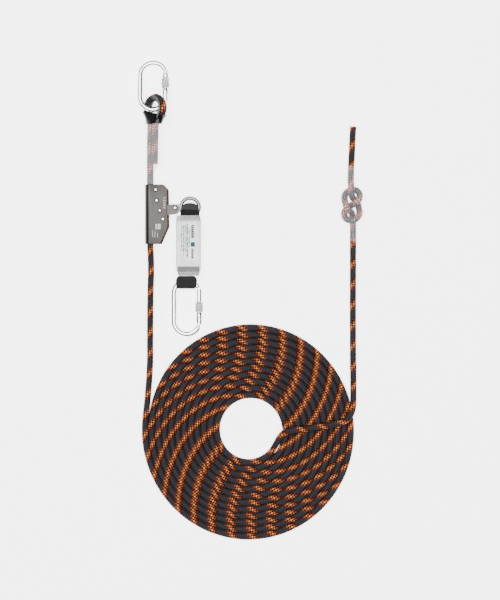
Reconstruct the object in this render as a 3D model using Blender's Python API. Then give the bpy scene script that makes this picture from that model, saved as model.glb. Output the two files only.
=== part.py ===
"""A rope grab on its working line, laid flat: line with thimble eye, coil and stopper knot, grab with cam
lever and eye link, energy absorber, and two screw-lock carabiners. Run it with blender --background --python
part.py.

Axes: the line runs through the grab along Y, +Z points up from the floor, and the origin lies on the back
face of the grab's housing, under the line and half way along the housing. All lengths are in millimetres."""

from math import acos, atan2, cos, degrees, hypot, pi, radians, sin, sqrt

import bmesh
import bpy
import numpy as np
from mathutils import Matrix, Vector

MM = 0.001
GAP = 0.3  # clearance between pieces that touch

# Line
ROPE_R = 6.0
ROPE_R_KNOT = 5.3  # the line is squeezed in its shrunk sleeve and knot
ROPE_Z = 9.6  # height of the line inside the housing
ROPE_SIDES = 8

# Spiral coil, wound counter-clockwise from nine o'clock inward
COIL_X, COIL_Y = 182.7, -397.3
COIL_R = 192.5  # centreline radius where the coil starts
COIL_PITCH = 12.0
COIL_TURNS = 11.38
COIL_STRETCH = 1.03  # the coil is a little longer than wide
COIL_STEPS = 40  # outline points for each turn

# Eye of the line, turned about its length so that its right half stands up
EYE_X, EYE_Y, EYE_Z = 9.85, 194.5, 21.6
EYE_R = 20.5
EYE_TURN = radians(45)
KNOT_X, KNOT_Y, KNOT_Z = 371.0, 17.2, 14.0
NECK_Y = 167.0
NECK_HALF = 6.6  # half the spacing of the two strands below the thimble
TAIL_Y = 92.0
THIMBLE_WALL = 1.5

# Grab housing, one plate folded round the line
PLATE = 3.0
HOUSING_IN = 6.6  # inner radius of the fold
HOUSING_TOP, HOUSING_BOTTOM = 54.8, -54.3
RIVET_R, RIVET_HEAD_R, RIVET_HEAD = 2.4, 3.9, 1.9
RIVETS = {
    "guide_rivet": (10.5, 45.1),
    "spacer_rivet": (12.5, 25.4),
    "cam_rivet": (18.2, 6.8),
    "stop_rivet": (23.9, -8.8),
}
ROLLER_BOTTOM, ROLLER_TOP = 3.5, 15.7  # the rollers and the cam's bush fill the housing's inside

# Cam lever and eye link
ARM_END = (44.5, 9.6)
ARM_R = 9.2
ARM_RIVET = (46.0, 11.9)
ARM_T = 2.8
REAR_ARM_Z, FRONT_ARM_Z = 3.6, 12.8  # lower faces of the two arm plates
CAM_BORE_R = 4.3
RING_X, RING_Y, RING_R, WIRE_R = 73.2, 13.2, 16.9, 3.5

# Energy absorber
PACK_X, PACK_TOP = 70.6, -4.5
WEB_T = 2.4

# Carabiners
BAR_R = 5.0
END_R = 23.6
GATE_U = 22.8  # the gate's axis, across from the carabiner's middle
UPPER_LENGTH, UPPER_X, UPPER_Y, UPPER_TILT = 99.5, 5.4, 235.8, radians(10.5)
LOWER_LENGTH, LOWER_X, LOWER_Y, LOWER_TILT = 108.0, 67.1, -170.8, radians(-1.6)


def clear_scene():
    for obj in list(bpy.data.objects):
        bpy.data.objects.remove(obj, do_unlink=True)


def material(name, colour, roughness, metallic=0.0):
    """The one material of this name, made on first use."""
    found = bpy.data.materials.get(name)
    if found:
        return found
    made = bpy.data.materials.new(name)
    made.use_nodes = True
    shader = made.node_tree.nodes["Principled BSDF"]
    shader.inputs["Base Color"].default_value = (*colour, 1)
    shader.inputs["Roughness"].default_value = roughness
    shader.inputs["Metallic"].default_value = metallic
    return made


def rope_material():
    return material("rope", (0.03, 0.03, 0.035), 0.8)


def steel():
    return material("bright_steel", (0.78, 0.78, 0.78), 0.2, 1.0)


def plate_steel():
    return material("plate_steel", (0.35, 0.35, 0.36), 0.4, 1.0)


def clear_plastic():
    return material("clear_plastic", (0.85, 0.85, 0.87), 0.3)


def black_plastic():
    return material("black_plastic", (0.02, 0.02, 0.02), 0.4)


def webbing():
    return material("webbing", (0.02, 0.02, 0.022), 0.9)


def link(name, mesh, mat):
    """An object of this mesh, whose points are in millimetres in the world."""
    mesh.transform(Matrix.Scale(MM, 4))
    mesh.materials.append(mat)
    mesh.validate()
    obj = bpy.data.objects.new(name, mesh)
    bpy.context.scene.collection.objects.link(obj)
    return obj


def from_bmesh(name, bm, mat, smooth=True):
    bmesh.ops.recalc_face_normals(bm, faces=bm.faces)
    mesh = bpy.data.meshes.new(name)
    bm.to_mesh(mesh)
    bm.free()
    if smooth:
        mesh.shade_smooth()
        mesh.set_sharp_from_angle(angle=radians(35))
    return link(name, mesh, mat)


def solid(name, verts, faces, mat, smooth=True):
    bm = bmesh.new()
    made = [bm.verts.new(v) for v in verts]
    for face in faces:
        bm.faces.new([made[i] for i in face])
    return from_bmesh(name, bm, mat, smooth)


def loft(rings, closed=False):
    """Vertices and quads through rings of equal count, with flat caps unless the rings close on themselves."""
    count, around = len(rings), len(rings[0])
    verts = [tuple(p) for ring in rings for p in ring]
    faces = []
    for i in range(count if closed else count - 1):
        j = (i + 1) % count
        for k in range(around):
            m = (k + 1) % around
            faces.append((i * around + k, i * around + m, j * around + m, j * around + k))
    if not closed:
        faces.append(tuple(range(around))[::-1])
        faces.append(tuple(range((count - 1) * around, count * around)))
    return verts, faces


def frames_along(points):
    """A tangent, side and up direction at each point, carried along without twist."""
    pts = [Vector(p) for p in points]
    last = len(pts) - 1
    tangents = [(pts[min(i + 1, last)] - pts[max(i - 1, 0)]).normalized() for i in range(last + 1)]
    start = Vector((0, 0, 1)) if abs(tangents[0].z) < 0.9 else Vector((1, 0, 0))
    side = tangents[0].cross(start).normalized()
    found = []
    for p, t in zip(pts, tangents):
        side = (side - t * side.dot(t)).normalized()
        found.append((p, t, side, side.cross(t)))
    return found


def tube_rings(points, radii, sides):
    rings = []
    for (p, _, side, up), r in zip(frames_along(points), radii):
        angles = [2 * pi * k / sides for k in range(sides)]
        rings.append([p + (side * cos(a) + up * sin(a)) * r for a in angles])
    return rings


def shell_rings(outer, inner):
    """Rings that run out along the outside and back along the inside of a sleeve, closed on themselves."""
    return outer + inner[::-1]


def smooth_curve(points, spacing):
    """Points about this far apart on a Catmull-Rom curve through the given ones."""
    pts = [Vector(p) for p in points]
    pts = [pts[0] * 2 - pts[1]] + pts + [pts[-1] * 2 - pts[-2]]
    dense = []
    for a, b, c, d in zip(pts, pts[1:], pts[2:], pts[3:]):
        for k in range(16):
            t = k / 16
            square = (2 * a - 5 * b + 4 * c - d) * t**2
            cube = (3 * b - 3 * c + d - a) * t**3
            dense.append(0.5 * (2 * b + (c - a) * t + square + cube))
    dense.append(pts[-2])
    return spaced(dense, spacing)


def spaced(dense, spacing):
    """The polyline's points read again at even steps of about this spacing."""
    lengths = [0.0]
    for a, b in zip(dense, dense[1:]):
        lengths.append(lengths[-1] + (b - a).length)
    count = max(2, round(lengths[-1] / spacing) + 1)
    wanted = np.linspace(0, lengths[-1], count)
    table = np.array([tuple(p) for p in dense])
    return [Vector([np.interp(w, lengths, table[:, axis]) for axis in range(3)]) for w in wanted]


def cord(name, points, radii=None):
    """A length of the line: a curve with a round bevel and filled caps."""
    curve = bpy.data.curves.new(name, "CURVE")
    curve.dimensions = "3D"
    curve.bevel_depth = ROPE_R * MM
    curve.bevel_resolution = ROPE_SIDES // 2 - 2
    curve.use_fill_caps = True
    spline = curve.splines.new("POLY")
    spline.points.add(len(points) - 1)
    for i, p in enumerate(points):
        spline.points[i].co = (*(Vector(p) * MM), 1)
        spline.points[i].radius = radii[i] / ROPE_R if radii else 1.0
    curve.materials.append(rope_material())
    obj = bpy.data.objects.new(name, curve)
    bpy.context.scene.collection.objects.link(obj)
    return obj


def prism(name, outline, z0, z1, mat, smooth=False):
    rings = [[(x, y, z) for x, y in outline] for z in (z0, z1)]
    return solid(name, *loft(rings), mat, smooth)


def turned(name, profile, mat, place=None, sides=24):
    """A body of revolution about Z from (radius, height) pairs that start and end on the axis or close a ring."""
    on_axis = profile[0][0] == 0
    rings = [
        [(r * cos(2 * pi * k / sides), r * sin(2 * pi * k / sides), z) for k in range(sides)]
        for r, z in (profile[1:-1] if on_axis else profile)
    ]
    verts, faces = loft(rings, closed=not on_axis)
    if on_axis:
        faces = faces[:-2]
        verts += [(0, 0, profile[0][1]), (0, 0, profile[-1][1])]
        low, high, top = len(verts) - 2, len(verts) - 1, (len(rings) - 1) * sides
        for k in range(sides):
            m = (k + 1) % sides
            faces += [(low, m, k), (high, top + k, top + m)]
    if place is not None:
        verts = [place @ Vector(v) for v in verts]
    return solid(name, verts, faces, mat)


def cut(obj, *cutters):
    """Takes each cutter out of the object, and keeps the cutter out of sight."""
    for cutter in cutters:
        cutter.hide_render = True
        cutter.display_type = "WIRE"
        modifier = obj.modifiers.new("cut_" + cutter.name, "BOOLEAN")
        modifier.operation = "DIFFERENCE"
        modifier.object = cutter


def arc(cx, cy, r, start, end, steps):
    """Points on a circle, angles in degrees."""
    angles = [radians(start + (end - start) * k / steps) for k in range(steps + 1)]
    return [(cx + r * cos(a), cy + r * sin(a)) for a in angles]


def capsule(x1, y1, r1, x2, y2, r2, steps=10):
    """Outline of the convex shape round two circles."""
    heading = atan2(y2 - y1, x2 - x1)
    spread = acos((r1 - r2) / hypot(x2 - x1, y2 - y1))
    a = degrees(heading + spread)
    b = degrees(heading - spread)
    return arc(x1, y1, r1, a, b + 360, steps) + arc(x2, y2, r2, b, a, steps)


# ---- the line ----

def eye_point(along, across, y):
    """A world point from a distance along the eye's tilted width, one out of its plane, and a height y."""
    c, s = cos(EYE_TURN), sin(EYE_TURN)
    return Vector((EYE_X + along * c - across * s, y, EYE_Z + along * s + across * c))


def eye_route():
    """The strand's centre from the neck on the tail's side, round the eye, to the neck on the long side."""
    angles = [radians(a) for a in range(-20, 201, 20)]
    loop = [eye_point(EYE_R * cos(a), 0, EYE_Y + EYE_R * sin(a)) for a in angles]
    right = [neck_point(NECK_HALF), eye_point(12.2, 0, NECK_Y + 9)]
    left = [eye_point(-12.2, 0, NECK_Y + 9), neck_point(-NECK_HALF)]
    return right + loop + left


def neck_point(along):
    """A strand's centre where it leaves the thimble: the neck leans back toward the housing's line."""
    return eye_point(along, 0, NECK_Y) + Vector((-3.6, 0, -0.8))


def tail_route():
    return [Vector((8.9, TAIL_Y, 19.8)), Vector((9.1, 118, 21.6)), Vector((9.9, 145, 23.8))]


def lead_route():
    """From the eye's long side down through the grab to the coil."""
    upper = [(0.7, 145, 14.4), (0.2, 118, 12.6), (0.0, 92, 11.0)]
    upper += [(0.0, 70, ROPE_Z + 0.1), (0.0, 50, ROPE_Z)]
    grab = [(0.0, 25, ROPE_Z), (0.0, 0, ROPE_Z), (0.0, -25, ROPE_Z), (0.0, -56, ROPE_Z)]
    lower = [(0.9, -75, 9.0), (1.4, -92, 7.6), (1.2, -112, 6.5), (0.4, -140, 6.1), (-0.2, -180, 6.1)]
    floor = [(-0.4, -230, 6.1), (-0.5, -270, 6.1), (-1.6, -295, 6.1), (-3.3, -318, 6.1), (-5.4, -343, 6.1)]
    end = [(-8.0, -367, 6.1), (-9.7, -385, 6.1), (COIL_X - COIL_R, COIL_Y + 1.0, 6.1)]
    return [Vector(p) for p in upper + grab + lower + floor + end]


def coil_point(turns, r_extra=0.0):
    """A point of the coil's centreline this many turns from nine o'clock, counter-clockwise from above."""
    angle = pi + 2 * pi * turns
    r = COIL_R - COIL_PITCH * turns + r_extra
    return Vector((COIL_X + r * cos(angle), COIL_Y + COIL_STRETCH * r * sin(angle), 6.0))


def return_route():
    """From the coil's inner end up over its turns to the right strand and the lower end of the knot."""
    start = coil_point(COIL_TURNS)
    tangent = (coil_point(COIL_TURNS + 0.01) - start).normalized()
    start = start + tangent * 2.4 + Vector((-0.3, 0.3, 0.1))
    rise = [start, (228.4, -428.0, 7.6), (233.2, -419.4, 10.8), (237.6, -410.8, 14.4)]
    rise += [(243.4, -403.4, 17.6), (252.5, -399.0, 18.7)]
    over = [(270, -396.0, 18.6), (295, -392.4, 18.6), (320, -388.6, 18.6), (343, -384.6, 18.6)]
    down = [(357, -379.6, 18.6), (366.5, -370.8, 18.7), (371.3, -360.0, 17.4), (373.2, -350.0, 14.0)]
    down += [(373.8, -338.0, 9.6), (374.0, -322.0, 6.8)]
    strand = [(373.9, -295, 6.1), (373.4, -250, 6.1), (373.2, -200, 6.1)]
    strand += [(373.2, -150, 6.1), (373.4, -100, 6.1)]
    return [Vector(p) for p in rise + over + down + strand]


def knot_route():
    """A figure-eight stopper knot, its own point mirror about its centre, and the bare end above it."""
    half = [(2.4, -46, -7.6), (2.0, -32, -6.8), (1.2, -21, -5.4), (-1.2, -13.6, 1.2), (-6.0, -9.8, 6.8)]
    half += [(-10.7, -3, 7.6), (-13.0, 5.5, 4.0), (-13.8, 14, -1.5), (-11.2, 21.5, -5.8), (-4.8, 27, -7.5)]
    half += [(3.2, 28.4, -7.2), (10.2, 26, -4), (14, 19.5, 0.4), (13.5, 12, 4.2), (8.8, 5.6, 5.8)]
    half += [(3.5, 1.8, 3.6)]
    other = [(-x, -y, -z) for x, y, z in half[:0:-1]]
    knot = [Vector(p) + Vector((KNOT_X, KNOT_Y, KNOT_Z)) for p in half + [(0, 0, 0)] + other]
    end = [(368.9, 64, 15.0), (369.4, 78, 8.2), (370.2, 92, 6.2), (371.4, 115, 6.1)]
    end += [(372.4, 140, 6.1), (373.8, 162, 6.1)]
    return knot + [Vector(p) for p in end]


def lead_points():
    start = smooth_curve(tail_route() + eye_route() + lead_route(), 3)
    return thinned(start, lambda p: 6 if p.y > NECK_Y else 9 if p.y > 50 else 28)


def thinned(points, step_at):
    """Keeps a point each step along the curve, with the step read from where the point is."""
    kept, travelled = [points[0]], 0.0
    for a, b in zip(points, points[1:]):
        travelled += (b - a).length
        if travelled >= step_at(b):
            kept.append(b)
            travelled = 0.0
    if (kept[-1] - points[-1]).length > 4:
        kept.append(points[-1])
    else:
        kept[-1] = points[-1]
    return kept


def return_points():
    whole = smooth_curve(return_route() + knot_route(), 2.0)
    bare_start = next(i for i, p in enumerate(whole) if p.y > -52)
    bent = [p for p in whole[:bare_start]]
    knot = whole[bare_start:]
    lower = thinned(bent, lambda p: 8 if p.z > 6.7 and not 262 < p.x < 340 else 30)
    upper = thinned(knot, lambda p: 5 if -25 < p.y < 60 else 24)
    return lower[:-1] + upper


def make_line():
    lead = lead_points()
    cord("rope_lead", lead, [5.9] * len(lead))
    back = return_points()
    radii = [ROPE_R_KNOT if -45 < p.y < 85 and p.x > 350 else 5.9 for p in back]
    cord("rope_return", back, radii)
    make_coil()


def coil_outline(first_turn, side, inset):
    """One turn of the coil's outer (side 1) or inner (side -1) boundary, moved inward into the coil by inset."""
    shift = side * (ROPE_R - inset)
    return [coil_point(first_turn + k / COIL_STEPS, shift) for k in range(COIL_STEPS + 1)]


def make_coil():
    """One flat ring that fills the outer shape of all the turns, with rounded edges and a step at each end."""
    levels = [(0.2, 4.6), (2.4, 1.2), (6.0, 0.0), (9.6, 1.2), (11.8, 4.6)]
    outer, inner = [], []
    for z, inset in levels:
        outer.append([(p.x, p.y, z) for p in coil_outline(0, 1, inset)])
        inner.append([(p.x, p.y, z) for p in coil_outline(COIL_TURNS - 1, -1, inset)])
    count = COIL_STEPS + 1
    verts, faces = [], []
    for rings in (outer, inner):
        for ring in rings:
            verts += ring

    def index(which, level, k):
        return (which * len(levels) + level) * count + k % count

    for which in (0, 1):
        for level in range(len(levels) - 1):
            for k in range(count):
                quad = (index(which, level, k), index(which, level, k + 1))
                faces.append(quad + (index(which, level + 1, k + 1), index(which, level + 1, k)))
    bm = bmesh.new()
    made = [bm.verts.new(v) for v in verts]
    for face in faces:
        bm.faces.new([made[i] for i in face])
    bm.edges.ensure_lookup_table()
    for level in (0, len(levels) - 1):
        edges = []
        for which in (0, 1):
            for k in range(count):
                ends = (made[index(which, level, k)], made[index(which, level, k + 1)])
                edges.append(bm.edges.get(ends))
        bmesh.ops.triangle_fill(bm, edges=edges, use_beauty=True)
    from_bmesh("rope_coil", bm, rope_material())


def make_thimble():
    """A half-round channel that holds the line's inner side, from cheek to cheek, with a flared skirt below."""
    route = smooth_curve(eye_route(), 5)
    centre = Vector((EYE_X, EYE_Y, EYE_Z))
    route = [p for p in route if p.y > NECK_Y + 7.5]
    rings = []
    for p, tangent, _, _ in frames_along(route):
        normal = Vector((-sin(EYE_TURN), 0, cos(EYE_TURN)))
        out = tangent.cross(normal).normalized()
        if out.dot(p - centre) < 0:
            out = -out
        ring = []
        low, high = ROPE_R + 0.5, ROPE_R + 0.5 + THIMBLE_WALL
        for r, angles in ((high, range(-100, 101, 20)), (low, range(100, -101, -20))):
            for a in angles:
                ring.append(p - out * (r * cos(radians(a))) + normal * (r * sin(radians(a))))
        rings.append(ring)
    solid("thimble", *loft(rings), black_plastic())


def sleeve_section(centre_a, centre_b, r, steps=8):
    """The convex outline round two circles of this radius that lie across the line."""
    a, b = Vector(centre_a), Vector(centre_b)
    heading = atan2(b.z - a.z, b.x - a.x)
    ring = []
    for centre, start in ((b, heading - pi / 2), (a, heading + pi / 2)):
        for k in range(steps + 1):
            angle = start + pi * k / steps
            ring.append(Vector((centre.x + r * cos(angle), a.y, centre.z + r * sin(angle))))
    return ring


def make_eye_sleeve():
    """Shrunk tube over both strands from the thimble to the sewn tail, then over the one strand to the grab."""
    line = smooth_curve(tail_route() + eye_route() + lead_route(), 2)
    top = max(range(len(line)), key=lambda i: line[i].y)
    tail, whole = line[:top], line[top:]

    def at(points, y):
        return min(points, key=lambda p: abs(p.y - y))

    stations = list(range(161, 90, -6)) + [TAIL_Y - 2, 84, 78, 70, 60]
    outer, inner = [], []
    for y in stations:
        main = at(whole, y).copy()
        main.y = y
        if y > TAIL_Y - 3:
            other = at(tail, max(y, TAIL_Y)).copy()
        else:
            other = main + (at(tail, TAIL_Y) - at(whole, TAIL_Y)) * max(0.02, (y - 80) / 24)
        other.y = y
        outer.append(sleeve_section(main, other, ROPE_R + 1.5))
        inner.append(sleeve_section(main, other, ROPE_R + 0.8))
    solid("eye_sleeve", *loft(shell_rings(outer, inner), closed=True), clear_plastic())


def make_knot_sleeve():
    """Shrunk tube on the line, knotted with it."""
    line = return_points()
    route = [p for p in line if p.x > 340 and -44 < p.y < 84]
    outer = tube_rings(route, [ROPE_R_KNOT + 0.9] * len(route), ROPE_SIDES)
    inner = tube_rings(route, [ROPE_R_KNOT + 0.5] * len(route), ROPE_SIDES)
    solid("knot_sleeve", *loft(shell_rings(outer, inner), closed=True), clear_plastic())


# ---- the grab ----

def housing_outline(reach):
    """A housing plate's right-hand outline from its top down, this much wider than the front one."""
    corner = arc(18.6 + reach, HOUSING_TOP - 12.0 - reach, 12.0, 90, 0, 6)
    lower = [(31.6 + reach, -22.8), (17.0 + reach * 1.2, HOUSING_BOTTOM)]
    return corner + lower


def outside_cutter(name, outline, z0, z1):
    """A block that fills the space right of an outline."""
    far = 60.0
    ring = [(outline[0][0], 70)] + outline + [(outline[-1][0], -70), (far, -70), (far, 70)]
    return prism(name, ring, z0, z1, plate_steel())


def make_housing():
    inside, outside = HOUSING_IN, HOUSING_IN + PLATE
    outer = [(x, z + ROPE_Z) for x, z in arc(0, 0, outside, 90, 270, 14)]
    inner = [(x, z + ROPE_Z) for x, z in arc(0, 0, inside, 270, 90, 14)]
    right = 45.0
    back, front = ROPE_Z - outside, ROPE_Z + outside
    section = outer + [(right, back), (right, back + PLATE)]
    section += inner + [(right, front - PLATE), (right, front)]
    rings = [[(x, y, z) for x, z in section] for y in (HOUSING_BOTTOM, HOUSING_TOP)]
    housing = solid("housing", *loft(rings), plate_steel())
    cut(housing, outside_cutter("cut_front", housing_outline(0), 12, 25))
    cut(housing, outside_cutter("cut_back", housing_outline(3.4), -5, 8))
    for name, (x, y) in RIVETS.items():
        cut(housing, drill("hole_" + name, RIVET_R + GAP, x, y))


def drill(name, r, x, y):
    """A cutter for a round hole along Z, through everything in the grab."""
    profile = [(0, -5), (r, -5), (r, 30), (0, 30)]
    return turned(name, profile, steel(), Matrix.Translation((x, y, 0)))


def make_rivets():
    top = 2 * ROPE_Z + GAP
    dome = [(RIVET_HEAD_R * cos(radians(a)), top + 0.4 + RIVET_HEAD * sin(radians(a))) for a in (0, 30, 60)]
    for name, (x, y) in RIVETS.items():
        shank = [(0, GAP), (RIVET_R, GAP), (RIVET_R, top), (RIVET_HEAD_R, top)]
        profile = shank + dome + [(0, top + 0.4 + RIVET_HEAD)]
        turned(name, profile, steel(), Matrix.Translation((x, y, 0)))


def ring_on(name, x, y, inside, outside, z0, z1, mat):
    profile = [(inside, z0), (outside, z0), (outside, z1), (inside, z1)]
    turned(name, profile, mat, Matrix.Translation((x, y, 0)))


def make_lever():
    """Toothed cam between two arm plates, on a bush round the cam rivet."""
    px, py = RIVETS["cam_rivet"]
    for name, z0 in (("rear_arm_plate", REAR_ARM_Z), ("front_arm_plate", FRONT_ARM_Z)):
        plate = prism(name, capsule(px, py, 9.0, *ARM_END, ARM_R), z0, z0 + ARM_T, plate_steel())
        cut(plate, drill("hole_pivot_" + name, CAM_BORE_R, px, py))
        cut(plate, drill("hole_arm_" + name, RIVET_R + GAP, *ARM_RIVET))
    teeth = []
    for k in range(13):
        angle = radians(150 + 6 * k)
        reach = 9.6 + 2.2 * min(1, k / 8) + (0.5 if k % 2 else 0)
        teeth.append((px + reach * cos(angle), py + reach * sin(angle)))
    cam_outline = teeth + arc(px, py, 8.0, 250, 500, 16)
    cam = prism("cam", cam_outline, REAR_ARM_Z + ARM_T + GAP, FRONT_ARM_Z - GAP, plate_steel())
    cut(cam, drill("hole_cam", CAM_BORE_R, px, py))
    ring_on("cam_bush", px, py, RIVET_R + GAP, CAM_BORE_R - GAP, ROLLER_BOTTOM, ROLLER_TOP, steel())
    place = Matrix.Translation((*ARM_RIVET, 0))
    top = FRONT_ARM_Z + ARM_T + GAP
    dome = [(RIVET_HEAD_R * cos(radians(a)), top + 0.3 + RIVET_HEAD * sin(radians(a))) for a in (0, 30, 60)]
    foot = [(0, 1.4), (RIVET_HEAD_R, 1.4), (RIVET_HEAD_R, REAR_ARM_Z - GAP), (RIVET_R, REAR_ARM_Z - GAP)]
    foot += [(RIVET_R, top), (RIVET_HEAD_R, top)]
    turned("arm_rivet", foot + dome + [(0, top + 0.3 + RIVET_HEAD)], steel(), place)


def make_spring():
    """Torsion spring round the cam's lower boss, one leg on the stop rivet."""
    px, py = RIVETS["stop_rivet"]
    coil = []
    for t in np.linspace(0.25, 3.0, 34):
        coil.append((px + 4.0 * cos(2 * pi * t), py + 4.0 * sin(2 * pi * t), 7.4 + 1.5 * t))
    leg = [(px - 1.5, py + 5.6, 7.0), (px - 5.0, py + 6.0, 6.9)]
    rings = tube_rings([Vector(p) for p in leg[::-1] + coil], [0.5] * (len(coil) + 2), 6)
    solid("cam_spring", *loft(rings), steel())


def make_link():
    """Round eye with a flat tang that sits between the arm plates."""
    rings = []
    steps, sides = 32, 10
    for k in range(steps):
        a = 2 * pi * k / steps
        ring = []
        for j in range(sides):
            b = 2 * pi * j / sides
            r = RING_R + WIRE_R * cos(b)
            ring.append((RING_X + r * cos(a), RING_Y + r * sin(a), ROPE_Z + WIRE_R * sin(b)))
        rings.append(ring)
    torus = solid("link_torus", *loft(rings, closed=True), steel())
    outline = capsule(ARM_RIVET[0], ARM_RIVET[1], 6.6, 52.8, RING_Y, 6.0)
    tang = prism("eye_link", outline, 7.1, 12.3, plate_steel())
    torus.hide_render = True
    torus.display_type = "WIRE"
    join = tang.modifiers.new("ring", "BOOLEAN")
    join.operation = "UNION"
    join.object = torus
    cut(tang, drill("hole_tang", RIVET_R + GAP, *ARM_RIVET))


# ---- the energy absorber ----

def web_loop(name, x0, x1, root_y, fold_y, mid_z, wall, inside, cutter):
    """Webbing folded round a bar: a U of this wall from root_y to its fold, open toward the pack."""
    side = 1 if fold_y > root_y else -1
    bend_y = fold_y - side * (inside + wall)
    turn = (90, -90) if side > 0 else (90, 270)
    outer = arc(bend_y, mid_z, inside + wall, *turn, 10)
    inner = arc(bend_y, mid_z, inside, *turn, 10)[::-1]
    top, low = mid_z + inside, mid_z - inside
    section = [(root_y, top + wall)] + outer + [(root_y, low - wall), (root_y, low)]
    section += inner + [(root_y, top)]
    rings = [[(x, y, z) for y, z in section] for x in (x0, x1)]
    loop = solid(name, *loft(rings), webbing())
    cut(loop, cutter)


def rounded_section(y, half_w, z0, z1, r, steps=3):
    """A rounded rectangle across the pack at this y."""
    ring = []
    corners = ((PACK_X + half_w - r, z1 - r, 0), (PACK_X - half_w + r, z1 - r, 90))
    corners += ((PACK_X - half_w + r, z0 + r, 180), (PACK_X + half_w - r, z0 + r, 270))
    for cx, cz, start in corners:
        ring += [(x, y, z) for x, z in arc(cx, cz, r, start, start + 90, steps)]
    return ring


def make_absorber():
    rings = []
    for a in np.linspace(0, 2 * pi, 41)[:-1]:
        out = Vector((cos(a), sin(a), 0))
        middle = Vector((RING_X, RING_Y, ROPE_Z)) + out * RING_R
        around = [2 * pi * k / 10 for k in range(10)]
        rings.append([middle + (out * cos(b) + Vector((0, 0, sin(b)))) * (WIRE_R + 0.5) for b in around])
    ring_cutter = solid("cut_ring", *loft(rings, closed=True), webbing())
    web_loop("top_loop", 55.8, 90.6, PACK_TOP - 4.2, 21.2, 9.9, WEB_T, 4.1, ring_cutter)
    arc_v = LOWER_LENGTH / 2 - BAR_R - END_R
    place = lower_place()
    angles = np.linspace(radians(10), radians(170), 21)
    bar = [place @ Vector((END_R * cos(a), -arc_v - END_R * sin(a), 0)) for a in angles]
    bar_cutter = solid("cut_bar", *loft(tube_rings(bar, [BAR_R + 0.45] * len(bar), 12)), webbing())
    web_loop("bottom_loop", 47.2, 86.4, -113.1, -137.0, 9.6, 2.2, 5.6, bar_cutter)
    sections = [(PACK_TOP - 5.0, 18.5), (-14, 21.2), (-100, 21.2), (-112.7, 18.0)]
    pack = [rounded_section(y, w, 3.4, 17.2, 2.0) for y, w in sections]
    solid("tear_webbing", *loft(pack), webbing())
    label = [(PACK_X - 20.6, -11.4), (PACK_X + 20.6, -11.4), (PACK_X + 20.6, -95.9), (PACK_X - 20.6, -95.9)]
    prism("label", label, 17.6, 18.0, material("label", (0.9, 0.9, 0.9), 0.5))
    ends = [(-2.0, 21.4, 1.2, 18.4), (-12.0, 23.0, 0.4, 20.2)]
    ends += [(-100.0, 23.0, 0.4, 20.2), (-112.8, 20.4, 0.4, 18.6)]
    outer = [rounded_section(y, w, z0, z1, 3.0) for y, w, z0, z1 in ends]
    inner = [rounded_section(y, w - 0.8, z0 + 0.7, z1 - 0.7, 2.4) for y, w, z0, z1 in ends]
    solid("absorber_cover", *loft(shell_rings(outer, inner), closed=True), clear_plastic())


# ---- the carabiners ----

def upper_place():
    rise = (UPPER_LENGTH / 2 - BAR_R) * sin(UPPER_TILT)
    return Matrix.Translation((UPPER_X, UPPER_Y, BAR_R + GAP + rise)) @ Matrix.Rotation(-UPPER_TILT, 4, "X")


def lower_place():
    rise = (LOWER_LENGTH / 2 - BAR_R) * sin(-LOWER_TILT)
    tilt = Matrix.Rotation(-LOWER_TILT, 4, "X")
    return Matrix.Translation((LOWER_X, LOWER_Y, BAR_R + 1.6 + rise)) @ tilt @ Matrix.Rotation(pi, 4, "X")


def box(name, low, high, mat, place):
    xs, ys, zs = zip(low, high)
    verts = [place @ Vector((x, y, z)) for z in zs for y in ys for x in xs]
    faces = [(0, 2, 3, 1), (4, 5, 7, 6), (0, 1, 5, 4), (2, 6, 7, 3), (0, 4, 6, 2), (1, 3, 7, 5)]
    return solid(name, verts, faces, mat, smooth=False)


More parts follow.
